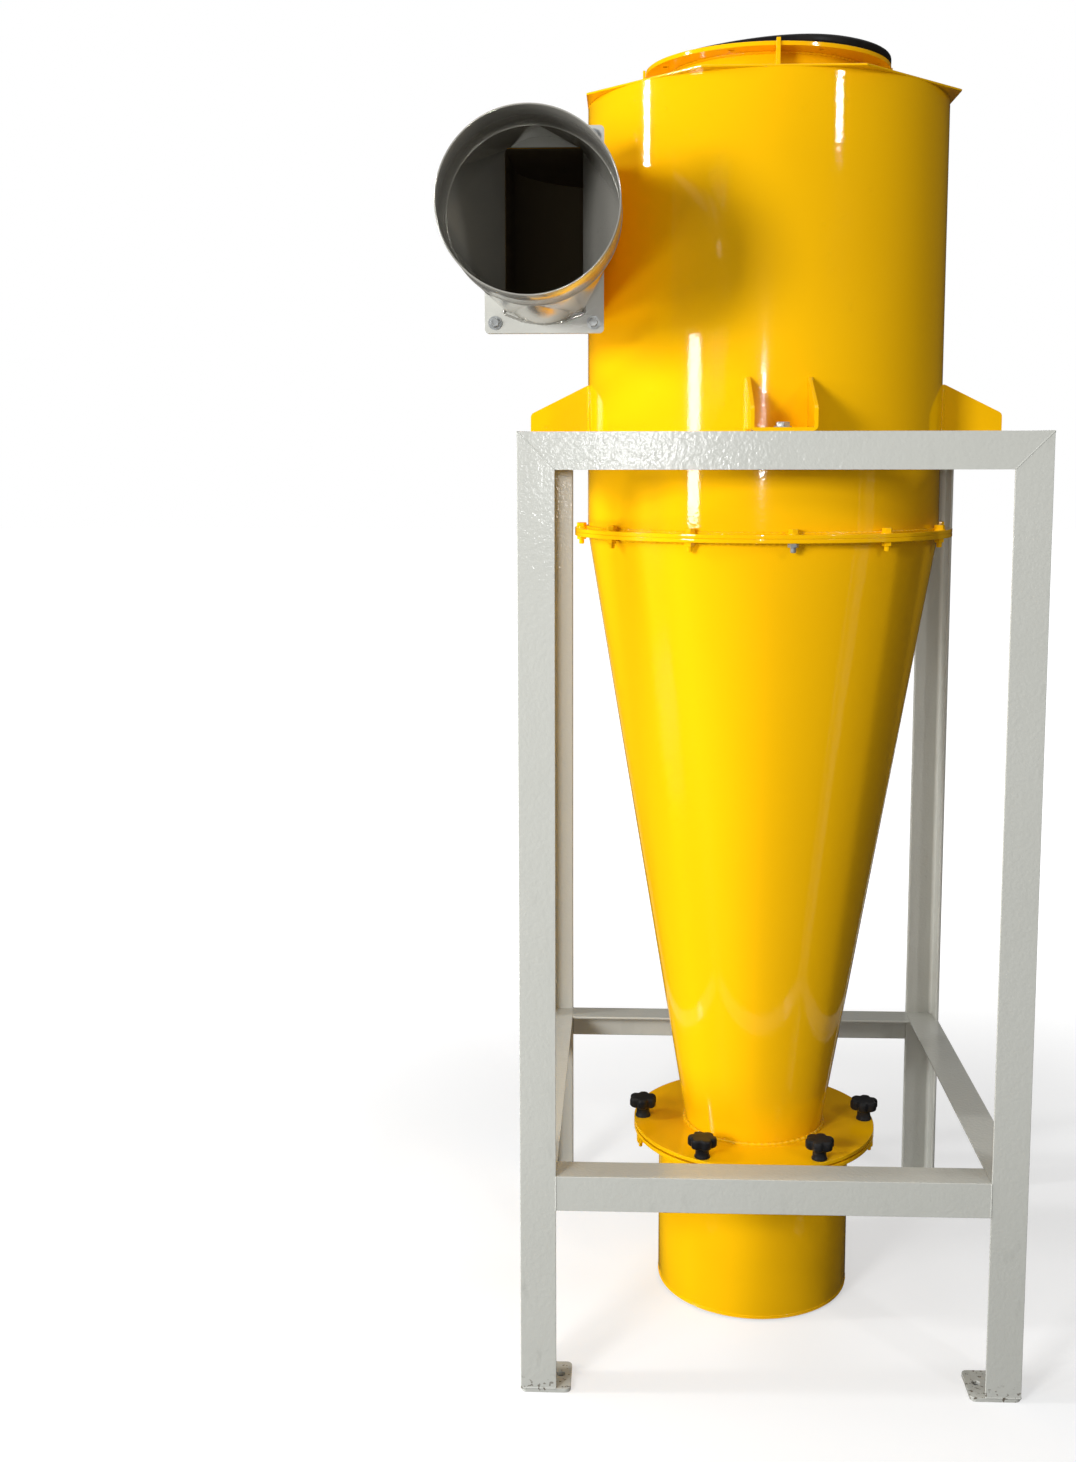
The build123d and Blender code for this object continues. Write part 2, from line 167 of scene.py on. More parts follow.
class Graph:
    """Node tree of one material or of the world."""

    def __init__(self, tree: bpy.types.NodeTree) -> None:
        """Takes a tree and empties it."""
        self.tree = tree
        tree.nodes.clear()

    def node(
        self,
        kind: str,
        settings: Optional[dict] = None,
        sockets: Optional[dict] = None,
        output: Union[int, str] = 0,
    ) -> Val:
        """Adds a node.

        Args:
            kind: The node's type.
            settings: Properties, which are set first.
            sockets: Values or links of its inputs, by name or number.
            output: Which output to give back.

        Returns:
            The chosen output.
        """
        made = self.tree.nodes.new(kind)
        for name, value in (settings or {}).items():
            setattr(made, name, value)
        for name, value in (sockets or {}).items():
            if isinstance(value, Val):
                self.tree.links.new(value.socket, made.inputs[name])
            else:
                made.inputs[name].default_value = value
        return Val(self, made.outputs[output] if made.outputs else None)

    def place(self) -> Val:
        """Object coordinates, in metres."""
        return self.node("ShaderNodeTexCoord", output="Object")

    def noise(self, scale: float, detail: float, stretch: Point = (1.0, 1.0, 1.0)) -> Val:
        """Noise on the object's coordinates.

        Args:
            scale: Grains per metre.
            detail: Number of octaves.
            stretch: Factors on the three axes.

        Returns:
            Noise from 0 to 1.
        """
        spot = self.node("ShaderNodeMapping", {}, {"Vector": self.place(), "Scale": stretch})
        sockets = {"Vector": spot, "Scale": scale, "Detail": detail}
        return self.node("ShaderNodeTexNoise", {}, sockets, "Fac")

    def blend(self, factor: Union[Val, float], first: "Val | Colour", second: "Val | Colour") -> Val:
        """Mixes two colours.

        Args:
            factor: Share of the second colour.
            first: Colour at 0.
            second: Colour at 1.

        Returns:
            The mixed colour.
        """
        sockets: dict = {0: factor}
        for number, colour in ((6, first), (7, second)):
            sockets[number] = colour if isinstance(colour, Val) else (*colour, 1.0)
        return self.node("ShaderNodeMix", {"data_type": "RGBA"}, sockets, 2)

    def bump(self, height: Val, strength: float, depth: float) -> Val:
        """Turns a height into a normal.

        Args:
            height: Height from 0 to 1.
            strength: Share of the bump that shows.
            depth: Height of 1, in metres.

        Returns:
            The bumped normal.
        """
        sockets = {"Height": height, "Strength": strength, "Distance": depth}
        return self.node("ShaderNodeBump", {}, sockets)

    def close(self, shader: Val) -> None:
        """Links a shader to the material's output."""
        self.node("ShaderNodeOutputMaterial", {}, {"Surface": shader})


@dataclass(frozen=True)
class Finish:
    """A surface with its slot in the record; each kind of finish gives its own sockets."""

    name: str
    slot: Slot
    colour: Colour

    def sockets(self, graph: Graph) -> dict:
        """What the shader's sockets get."""
        raise NotImplementedError

    def material(self) -> bpy.types.Material:
        """Builds the finish.

        Returns:
            The new material.
        """
        made = bpy.data.materials.new(self.name)
        made.use_nodes = True
        graph = Graph(made.node_tree)
        graph.close(graph.node("ShaderNodeBsdfPrincipled", {}, self.sockets(graph)))
        return made


@dataclass(frozen=True)
class Paint(Finish):
    """Sprayed paint or powder coat on steel: orange peel, faint clouds, dust nibs and scuffs."""

    thin: Colour
    scuff: Colour
    roughness: float
    metallic: float
    peel_grain: float
    peel_depth: float
    scuff_share: float
    scuff_height: float
    chips: float = 0.0
    chip_colour: Colour = (0.10, 0.075, 0.05)
    chip_height: float = 0.032
    cloud_grain: float = 3.1
    nib_grain: float = 420.0
    rub_grain: float = 34.0
    chip_grain: float = 170.0
    wave_grain: float = 30.0
    smear_grain: float = 9.0
    bump_share: float = 0.30

    def sockets(self, graph: Graph) -> dict:
        """Works out the finish over the surface.

        Args:
            graph: The graph to work in.

        Returns:
            What the shader's sockets get.
        """
        cloud = graph.noise(self.cloud_grain, 4.0).over(0.32, 0.72)
        colour = graph.blend(cloud * 0.55, self.colour, self.thin)
        nib = graph.noise(self.nib_grain, 1.0).over(0.74, 0.80)
        height = graph.node("ShaderNodeSeparateXYZ", {}, {0: graph.place()}, "Z")
        low = 1 - height.over(0.0, self.scuff_height)
        rub = graph.noise(self.rub_grain, 5.0, (1.0, 1.0, 0.35)).over(0.60, 0.70)
        rub = rub * (low * 0.75 + 0.25) * self.scuff_share
        colour = graph.blend(rub, colour, self.scuff)
        near_floor = 1 - height.over(0.004, self.chip_height)
        chip = graph.noise(self.chip_grain, 3.0).over(0.60, 0.64) * near_floor * self.chips
        colour = graph.blend(chip, colour, self.chip_colour)
        peel = graph.noise(self.peel_grain, 1.5)
        wave = graph.noise(self.wave_grain, 1.0)
        smear = graph.noise(self.smear_grain, 5.0, (1.0, 1.0, 0.3)).over(0.35, 0.75)
        return {
            "Base Color": colour,
            "Roughness": smear * 0.07 + rub * 0.25 + (self.roughness - 0.03),
            "Metallic": self.metallic,
            "Normal": graph.bump(peel + wave * 0.7 + nib * 0.7, self.bump_share, self.peel_depth),
        }


@dataclass(frozen=True)
class Moulded(Finish):
    """Moulded plastic or rubber: fine grain, dull patches and a little dust."""

    dust: Colour
    roughness: float
    grain: float
    grain_depth: float
    patch_grain: float = 38.0
    shine: float = 0.18

    def sockets(self, graph: Graph) -> dict:
        """Works out the finish over the surface.

        Args:
            graph: The graph to work in.

        Returns:
            What the shader's sockets get.
        """
        patch = graph.noise(self.patch_grain, 4.0).over(0.42, 0.72)
        colour = graph.blend(patch * 0.35, self.colour, self.dust)
        grain = graph.noise(self.grain, 2.0)
        return {
            "Base Color": colour,
            "Roughness": patch * 0.16 + self.roughness,
            "Specular IOR Level": self.shine,
            "Normal": graph.bump(grain, 0.35, self.grain_depth),
        }


@dataclass(frozen=True)
class Plated(Finish):
    """Zinc-plated steel: bright metal with cloudy passivation."""

    cloud: Colour
    roughness: float
    metallic: float = 0.6
    cloud_grain: float = 160.0
    scratch_grain: float = 900.0
    scratch_depth: float = 0.2 * MM

    def sockets(self, graph: Graph) -> dict:
        """Works out the finish over the surface.

        Args:
            graph: The graph to work in.

        Returns:
            What the shader's sockets get.
        """
        cloud = graph.noise(self.cloud_grain, 4.0).over(0.3, 0.75)
        scratch = graph.noise(self.scratch_grain, 2.0, (1.0, 1.0, 0.2))
        return {
            "Base Color": graph.blend(cloud, self.colour, self.cloud),
            "Metallic": self.metallic,
            "Roughness": cloud * 0.18 + self.roughness,
            "Normal": graph.bump(scratch, 0.2, self.scratch_depth),
        }


YELLOW = Paint(
    "yellow_powder_coat", Slot.BODY_PAINT, (0.93, 0.50, 0.002), (0.91, 0.48, 0.002), (0.62, 0.36, 0.03),
    roughness=0.07, metallic=0.0, peel_grain=230.0, peel_depth=0.00025,
    scuff_share=0.05, scuff_height=0.2,
)
STAND_GREY = Paint(
    "stand_light_grey", Slot.STAND_PAINT, (0.53, 0.535, 0.495), (0.50, 0.505, 0.465), (0.31, 0.31, 0.28),
    roughness=0.18, metallic=0.0, peel_grain=210.0, peel_depth=0.0014,
    scuff_share=0.35, scuff_height=0.35, chips=0.9,
)
DUCT_GREY = Paint(
    "duct_grey", Slot.DUCT_PAINT, (0.53, 0.53, 0.49), (0.50, 0.50, 0.46), (0.62, 0.62, 0.58),
    roughness=0.22, metallic=0.0, peel_grain=230.0, peel_depth=0.0007,
    scuff_share=0.12, scuff_height=0.2,
)
DUCT_SILVER = Paint(
    "duct_silver", Slot.DUCT_PAINT, (0.56, 0.545, 0.49), (0.52, 0.505, 0.45), (0.66, 0.65, 0.60),
    roughness=0.15, metallic=0.55, peel_grain=200.0, peel_depth=0.0004,
    scuff_share=0.12, scuff_height=0.2,
)
DUCT_INSIDE = Paint(
    "duct_inside", Slot.BODY_PAINT, (0.11, 0.085, 0.05), (0.14, 0.11, 0.06), (0.20, 0.16, 0.10),
    roughness=0.5, metallic=0.0, peel_grain=200.0, peel_depth=0.0006,
    scuff_share=0.3, scuff_height=0.2,
)
KNOB_BLACK = Moulded(
    "knob_black", Slot.PLASTIC, (0.012, 0.012, 0.013), (0.03, 0.03, 0.03), 0.34, 700.0, 0.0004,
)
GASKET_BLACK = Moulded(
    "gasket_black", Slot.RUBBER, (0.010, 0.009, 0.009), (0.024, 0.021, 0.019), 0.36, 320.0, 0.0005,
)
ZINC = Plated("bright_zinc", Slot.ZINC, (0.47, 0.49, 0.49), (0.33, 0.34, 0.34), 0.30)


class Paints:
    """Materials made so far, one for each finish."""

    def __init__(self) -> None:
        """Starts with none."""
        self.made: dict[str, bpy.types.Material] = {}

    def of(self, finish: Finish) -> bpy.types.Material:
        """Gives a finish's material.

        Args:
            finish: The finish.

        Returns:
            Its material, made the first time.
        """
        if finish.name not in self.made:
            self.made[finish.name] = finish.material()
        return self.made[finish.name]


paints = Paints()


def polar(radius: float, degrees: float, height: float) -> Vector:
    """A point at a radius and an angle in plan.

    Args:
        radius: Distance from the axis.
        degrees: Angle from +X.
        height: Height above the floor.

    Returns:
        The point.
    """
    angle = math.radians(degrees)
    return Vector((radius * math.cos(angle), radius * math.sin(angle), height))


def turned(degrees: float, spot: Vector) -> Matrix:
    """A placement turned in plan.

    Args:
        degrees: Turn about Z.
        spot: Where the origin goes.

    Returns:
        The placement.
    """
    return Matrix.Translation(spot) @ Matrix.Rotation(math.radians(degrees), 4, "Z")


def facing(direction: Vector, spot: Vector) -> Matrix:
    """A placement whose local Z points along a direction.

    Args:
        direction: Where local Z goes.
        spot: Where the origin goes.

    Returns:
        The placement.
    """
    return Matrix.Translation(spot) @ direction.to_track_quat("Z", "Y").to_matrix().to_4x4()


class Shape:
    """A mesh under construction, with the operators that these pieces need."""

    def __init__(self) -> None:
        """Starts empty."""
        self.bm = bmesh.new()

    @classmethod
    def of_node(cls, node: str) -> "Shape":
        """Starts from a merged copy of a CAD node's mesh.

        Args:
            node: The node's name.

        Returns:
            The new shape.
        """
        shape = cls()
        shape.bm.from_mesh(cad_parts[node].data)
        bmesh.ops.remove_doubles(shape.bm, verts=shape.bm.verts, dist=0.01 * MM)
        bmesh.ops.dissolve_limit(
            shape.bm, angle_limit=math.radians(0.4), verts=shape.bm.verts, edges=shape.bm.edges,
        )
        return shape

    def lathe(self, profile: Profile, steps: int = SPIN_STEPS) -> "Shape":
        """Adds a profile spun once round the Z axis.

        Args:
            profile: Radii and heights round the section, which stays open where it starts on the axis.
            steps: Number of steps round the turn.

        Returns:
            This shape.
        """
        ring = [self.bm.verts.new((radius, 0.0, height)) for radius, height in profile]
        pairs = list(zip(ring, ring[1:]))
        if profile[0][0] > 0:
            pairs.append((ring[-1], ring[0]))
        edges = [self.bm.edges.new(pair) for pair in pairs]
        bmesh.ops.spin(
            self.bm, geom=ring + edges, angle=math.tau, steps=steps, axis=(0, 0, 1), cent=(0, 0, 0),
            use_merge=True,
        )
        bmesh.ops.remove_doubles(self.bm, verts=self.bm.verts, dist=0.002 * MM)
        return self

    def hexagon(self, across: float, depth: float, chamfer: float) -> "Shape":
        """Adds a six-sided prism that stands on Z = 0.

        Args:
            across: Width across the flats.
            depth: Height.
            chamfer: Size of the chamfer round its top.

        Returns:
            This shape.
        """
        corner = across / math.sqrt(3)
        verts = bmesh.ops.create_cone(
            self.bm, cap_ends=True, segments=6, radius1=corner, radius2=corner, depth=depth,
            matrix=Matrix.Translation((0, 0, depth / 2)),
        )["verts"]
        edges = {e for v in verts for e in v.link_edges}
        top = [e for e in edges if all(v.co.z > depth * 0.99 for v in e.verts)]
        bmesh.ops.bevel(
            self.bm, geom=top, offset=chamfer, affect="EDGES", segments=2, profile=0.5, material=-1,
        )
        return self

    def bead(self, start: Vector, end: Vector, radius: float, pitch: float) -> "Shape":
        """Adds a straight weld bead with a ripple.

        Args:
            start: One end.
            end: The other end.
            radius: Half of its width.
            pitch: Length of one ripple.

        Returns:
            This shape.
        """
        run = end - start
        count = max(4, 2 * round(run.length / pitch))
        ring, edges = self.circle(radius * 0.5, 8, facing(run, start))
        first = edges
        size = 0.5
        for step in range(1, count + 1):
            ring, edges = self.drawn(edges)
            bmesh.ops.translate(self.bm, verts=ring, vec=run / count)
            wanted = 0.5 if step == count else (1.0 if step % 2 else 0.7)
            middle = start + run * (step / count)
            grow = Vector((1, 1, 1)) * (wanted / size)
            bmesh.ops.scale(self.bm, verts=ring, vec=grow, space=Matrix.Translation(-middle))
            size = wanted
        bmesh.ops.holes_fill(self.bm, edges=first + edges, sides=8)
        return self

    def bead_ring(self, radius: float, height: float, width: float, ripples: int) -> "Shape":
        """Adds a rippled weld bead round the Z axis.

        Args:
            radius: Radius of its middle.
            height: Height of its middle.
            width: Half of its section's width.
            ripples: Number of ripples round the turn.

        Returns:
            This shape.
        """
        known = set(self.bm.verts)
        angles = [math.tau * step / 8 for step in range(8)]
        section = [(radius + width * math.cos(a), height + width * math.sin(a)) for a in angles]
        self.lathe(section, steps=4 * ripples)
        for vert in self.bm.verts:
            if vert not in known:
                flat = Vector((vert.co.x, vert.co.y, 0.0))
                middle = flat.normalized() * radius + Vector((0, 0, height))
                ripple = 0.82 + 0.18 * math.sin(ripples * math.atan2(vert.co.y, vert.co.x))
                vert.co = middle + (vert.co - middle) * ripple
        return self

    def circle(self, radius: float, segments: int, place: Matrix) -> tuple[Verts, Edges]:
        """Adds an open ring of edges.

        Args:
            radius: Radius of the ring.
            segments: Number of its edges.
            place: Where it goes.

        Returns:
            Its vertices and edges.
        """
        verts = bmesh.ops.create_circle(
            self.bm, cap_ends=False, segments=segments, radius=radius, matrix=place,
        )["verts"]
        return verts, list(dict.fromkeys(e for v in verts for e in v.link_edges))

    def drawn(self, edges: Edges) -> tuple[Verts, Edges]:
        """Extrudes a ring of edges without moving it.

        Args:
            edges: The ring's edges.

        Returns:
            The new ring's vertices and edges.
        """
        grown = bmesh.ops.extrude_edge_only(self.bm, edges=edges)["geom"]
        ring = [g for g in grown if isinstance(g, bmesh.types.BMVert)]
        known = set(ring)
        fresh = [g for g in grown if isinstance(g, bmesh.types.BMEdge) and known.issuperset(g.verts)]
        return ring, fresh

    def ease(self, width: float, angle: float = 35.0, segments: int = 2) -> "Shape":
        """Rounds every edge that is sharper than an angle.

        Args:
            width: Width of the rounding.
            angle: Least turn of a sharp edge, in degrees.
            segments: Steps across the rounding.

        Returns:
            This shape.
        """
        sharp = [e for e in self.bm.edges if e.is_manifold and e.calc_face_angle(0.0) > math.radians(angle)]
        bmesh.ops.bevel(
            self.bm, geom=sharp, offset=width, affect="EDGES", segments=segments, profile=0.5, material=-1,
            clamp_overlap=True,
        )
        return self

    def lined(self, middle: Vector) -> "Shape":
        """Gives the second finish to the faces that look at a point.

        Args:
            middle: The point, inside the hollow.

        Returns:
            This shape.
        """
        bmesh.ops.recalc_face_normals(self.bm, faces=self.bm.faces)
        for face in self.bm.faces:
            way = middle - face.calc_center_median()
            if face.normal.dot(way.normalized()) > 0.25:
                face.material_index = 1
        return self

    def moved(self, place: Matrix) -> "Shape":
        """Moves the whole shape."""
        bmesh.ops.transform(self.bm, matrix=place, verts=self.bm.verts)
        return self

    def copies(self, places: Sequence[Matrix]) -> "Shape":
        """Replaces the shape by placed copies of itself.

        Args:
            places: One placement for each copy.

        Returns:
            This shape.
        """
        first = [*self.bm.verts, *self.bm.edges, *self.bm.faces]
        for place in places:
            twin = bmesh.ops.duplicate(self.bm, geom=first)["geom"]
            verts = [g for g in twin if isinstance(g, bmesh.types.BMVert)]
            bmesh.ops.transform(self.bm, matrix=place, verts=verts)
        bmesh.ops.delete(self.bm, geom=first, context="VERTS")
        return self

    def add(self, other: "Shape") -> "Shape":
        """Takes in another shape's mesh.

        Args:
            other: The shape to take in; it is used up.

        Returns:
            This shape.
        """
        mesh = bpy.data.meshes.new("passing")
        other.bm.to_mesh(mesh)
        other.bm.free()
        self.bm.from_mesh(mesh)
        bpy.data.meshes.remove(mesh)
        return self

    def piece(
        self,
        name: str,
        finish: Finish,
        nodes: Sequence[str] = (),
        flat: bool = True,
        inside: Optional[Finish] = None,
    ) -> bpy.types.Object:
        """Makes the finished object.

        Args:
            name: The piece's name.
            finish: Its finish.
            nodes: CAD nodes that it stands for.
            flat: Whether flat faces keep flat normals beside rounded edges.
            inside: Finish of the faces that were given material 1.

        Returns:
            The new object.
        """
        bmesh.ops.remove_doubles(self.bm, verts=self.bm.verts, dist=0.004 * MM)
        bmesh.ops.recalc_face_normals(self.bm, faces=self.bm.faces)
        mesh = bpy.data.meshes.new(name)
        self.bm.to_mesh(mesh)
        self.bm.free()
        mesh.materials.append(paints.of(finish))
        if inside:
            mesh.materials.append(paints.of(inside))
        mesh.shade_smooth()
        mesh.set_sharp_from_angle(angle=math.radians(50))
        made = bpy.data.objects.new(name, mesh)
        bpy.context.scene.collection.objects.link(made)
        if flat:
            weighted = made.modifiers.new("flat_faces", "WEIGHTED_NORMAL")
            weighted.keep_sharp = True
            weighted.weight = 80
        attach(made, BODY)
        if nodes:
            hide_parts(*nodes)
        log.info("%s: %d faces", name, len(mesh.polygons))
        return made


def ease_nodes(nodes: Sequence[str], finish: Finish, width: float) -> None:
    """Replaces CAD nodes by copies with rounded edges.

    Args:
        nodes: Names of the nodes.
        finish: Finish of the pieces.
        width: Width of the rounding.
    """
    for node in nodes:
        Shape.of_node(node).ease(width).piece(f"{node}_eased", finish, [node])


def ring_section(node: str, inner: float, outer: float) -> Profile:
    """Square section of a ring that is as tall as a CAD node.

    Args:
        node: The node's name.
        inner: Inner radius.
        outer: Outer radius.

    Returns:
        Radii and heights round the section.
    """
    low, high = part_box(node)
    return [(inner, low.z), (outer, low.z), (outer, high.z), (inner, high.z)]


@dataclass(frozen=True)
class Bolt:
    """Hex bolt, washer and nut, standing on Z = 0 with its shank below."""

    across: float
    head: float
    washer_radius: float = 0.0
    washer: float = 0.0
    stud_radius: float = 4.0 * MM
    stud_tail: float = 6.0 * MM
    chamfer_share: float = 0.16
    stud_tip: float = 1.0 * MM

    def top(self) -> Shape:
        """Head on its washer.

        Returns:
            The new shape.
        """
        made = Shape().hexagon(self.across, self.head, self.head * self.chamfer_share)
        made.moved(Matrix.Translation((0, 0, self.washer)))
        core, rim = self.across * 0.3, self.washer_radius
        return made.lathe([(core, 0), (rim, 0), (rim, self.washer), (core, self.washer)], 28)

    def tail(self) -> Shape:
        """Nut with the stud's end beyond it, hanging below Z = 0.

        Returns:
            The new shape.
        """
        made = Shape().hexagon(self.across, self.head, self.head * self.chamfer_share)
        reach = self.head + self.stud_tail
        wide, lip = self.stud_radius, self.stud_radius * 0.8
        made.lathe([(0, 0), (wide, 0), (wide, reach - self.stud_tip), (lip, reach), (0, reach)], 16)
        return made.moved(Matrix.Rotation(math.pi, 4, "X"))


FLANGE_BOLT = Bolt(13 * MM, 6 * MM, 8.5 * MM, 1.6 * MM, stud_tail=7 * MM)
BRACKET_BOLT = Bolt(17 * MM, 5.5 * MM, 12 * MM, 2 * MM)
INLET_BOLT = Bolt(11 * MM, 6.5 * MM, 9.2 * MM, 1.8 * MM)
LUG = Bolt(11 * MM, 14 * MM, stud_radius=3 * MM)


@dataclass
class Stand:
    """Welded stand of steel angle with foot plates."""

    edge: float = 0.9 * MM
    foot_edge: float = 0.54 * MM
    weld: float = 1.5 * MM
    ripple: float = 4.0 * MM

    def build(self) -> None:
        """Makes the bars, the plates and the welds."""
        bars = [f"post_{corner.label}" for corner in Corner]
        bars += [f"{level}_rail_{side.label}" for level in ("top", "lower") for side in Side]
        ease_nodes(bars, STAND_GREY, self.edge)
        ease_nodes([f"foot_{corner.label}" for corner in Corner], STAND_GREY, self.foot_edge)
        self._welds()

    def _welds(self) -> None:
        """Runs thin painted welds along the mitres, the butts and the foot plates."""
        welds = Shape()
        up = Vector((0, 0, 1))
        inset = self.weld * 0.55
        ring_low, ring_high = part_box("lower_rail_front")
        for corner in Corner:
            low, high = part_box(f"post_{corner.label}")
            leg = high.x - low.x
            way = Vector((*corner.value, 0))
            heel = Vector((high.x if way.x > 0 else low.x, high.y if way.y > 0 else low.y, high.z))
            axes = (Vector((way.x, 0, 0)), Vector((0, way.y, 0)))
            for axis in axes:
                mitre = heel - axis * inset
                welds.bead(mitre, mitre - (way - axis + up) * leg, self.weld, self.ripple)
            top = heel - up * inset
            welds.bead(top, top - way * leg, self.weld, self.ripple)
            for axis in axes:
                other = way - axis
                edge = heel - axis * (inset * 0.6) - other * leg
                start = Vector((edge.x, edge.y, ring_low.z))
                welds.bead(start, Vector((edge.x, edge.y, ring_high.z)), self.weld, self.ripple)
                foot = Vector((heel.x, heel.y, low.z)) - axis * inset
                welds.bead(foot - other * leg, foot, self.weld * 1.2, self.ripple)
        welds.piece("stand_welds", STAND_GREY, flat=False)


@dataclass
class Body:
    """Barrel, cone, their bolted flanges and the brackets."""

    sheet: float = 3.0 * MM
    mouth_radius: float = 106.5 * MM
    edge: float = 0.8 * MM
    bolt_count: int = 12
    bolt_turn: float = 4.5
    bare_nut: int = 0
    weld: float = 2.6 * MM
    bracket_weld: float = 3.6 * MM
    bracket_ripple: float = 7.0 * MM
    bracket_plate: float = 5.0 * MM
    bracket_bolt_reach: float = 25.0 * MM
    flange_gap: float = 0.1 * MM
    flange_ripples: int = 190

    @property
    def radius(self) -> float:
        """Outer radius of the barrel."""
        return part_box("barrel")[1].x

    def build(self) -> None:
        """Makes the shells, flanges, brackets, welds and bolts."""
        self._barrel()
        self._cone()
        self._flanges()
        ease_nodes(["top_plate"], YELLOW, self.edge)
        ease_nodes([f"bracket_{side.label}" for side in Side], YELLOW, self.edge)
        self._bolts()
        self._welds()

    def _barrel(self) -> None:
        """Spins the barrel and opens its window between the two walls of the inlet."""
        window_low, window_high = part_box("scroll_wall")
        _, inner_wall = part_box("inlet_inner_wall")
        front, back = inner_wall.y, window_high.y - self.sheet
        low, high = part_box("barrel")
        inner = high.x - self.sheet
        heights = [low.z, window_low.z, window_high.z, high.z]
        profile = [(high.x, z) for z in heights] + [(inner, z) for z in reversed(heights)]
        shape = Shape().lathe(profile)
        for cut in (front, back):
            whole = [*shape.bm.verts, *shape.bm.edges, *shape.bm.faces]
            bmesh.ops.bisect_plane(
                shape.bm, geom=whole, dist=0.01 * MM, plane_co=(0, cut, 0), plane_no=(0, 1, 0),
            )
        window = []
        for face in shape.bm.faces:
            spot = face.calc_center_median()
            if spot.x < 0 and front < spot.y < back and window_low.z < spot.z < window_high.z:
                window.append(face)
        bmesh.ops.delete(shape.bm, geom=window, context="FACES")
        bmesh.ops.bridge_loops(shape.bm, edges=[e for e in shape.bm.edges if e.is_boundary])
        for face in shape.bm.faces:
            middle = face.calc_center_median()
            if math.hypot(middle.x, middle.y) < inner + 0.3 * MM:
                face.material_index = 1
        shape.piece("barrel_shell", YELLOW, ["barrel"], flat=False, inside=DUCT_INSIDE)

    def _cone(self) -> None:
        """Spins the cone."""
        low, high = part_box("cone")
        top, mouth = self.radius, self.mouth_radius
        profile = [(top, high.z), (top - self.sheet, high.z), (mouth - self.sheet, low.z), (mouth, low.z)]
        Shape().lathe(profile).piece("cone_shell", YELLOW, ["cone"], flat=False)

    def _flanges(self) -> None:
        """Spins the two bolted rings under the barrel."""
        for node in ("barrel_flange", "cone_flange"):
            ring = ring_section(node, self.radius + self.flange_gap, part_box(node)[1].x)
            Shape().lathe(ring).ease(self.edge).piece(f"{node}_ring", YELLOW, [node])

    def _bolts(self) -> None:
        """Sets painted bolts round the flanges and one zinc bolt in each bracket."""
        cone_low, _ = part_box("cone_flange")
        _, ring_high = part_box("barrel_flange")
        reach = (self.radius + ring_high.x) / 2
        first = Side.FRONT.value + self.bolt_turn
        turns = [first + 360 * step / self.bolt_count for step in range(self.bolt_count)]
        heads = [turned(turn * 1.7, polar(reach, turn, ring_high.z)) for turn in turns]
        tails = [turned(turn * 2.3, polar(reach, turn, cone_low.z)) for turn in turns]
        bare = tails.pop(self.bare_nut)
        bolts = FLANGE_BOLT.top().copies(heads)
        bolts.add(FLANGE_BOLT.tail().copies(tails)).piece("body_bolts", YELLOW)
        FLANGE_BOLT.tail().copies([bare]).piece("body_bare_nut", ZINC)
        places = []
        for side in Side:
            low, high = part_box(f"top_rail_{side.label}")
            out = max(abs(low.x), abs(high.x), abs(low.y), abs(high.y)) - self.bracket_bolt_reach
            spot = polar(out, side.value, high.z + self.bracket_plate)
            places.append(turned(side.value * 1.3 + 12, spot))
        BRACKET_BOLT.top().copies(places).piece("bracket_bolts", ZINC)

    def _welds(self) -> None:
        """Runs weld beads round the flanges and up the bracket roots."""
        _, ring_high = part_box("barrel_flange")
        cone_low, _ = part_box("cone_flange")
        weld, ripples = self.weld, self.flange_ripples
        welds = Shape().bead_ring(self.radius + weld * 0.3, ring_high.z + weld * 0.3, weld, ripples)
        welds.bead_ring(self.radius - weld * 0.2, cone_low.z - weld * 0.5, weld, ripples)
        for side in Side:
            low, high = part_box(f"bracket_{side.label}")
            half = (high.x - low.x if side in (Side.FRONT, Side.BACK) else high.y - low.y) / 2
            spread = math.degrees(math.asin(half / self.radius))
            for hand in (-1, 1):
                foot = polar(self.radius + 0.5 * MM, side.value + hand * spread, low.z)
                head = Vector((foot.x, foot.y, high.z))
                welds.bead(foot, head, self.bracket_weld, self.bracket_ripple)
        welds.piece("body_welds", YELLOW, flat=False)


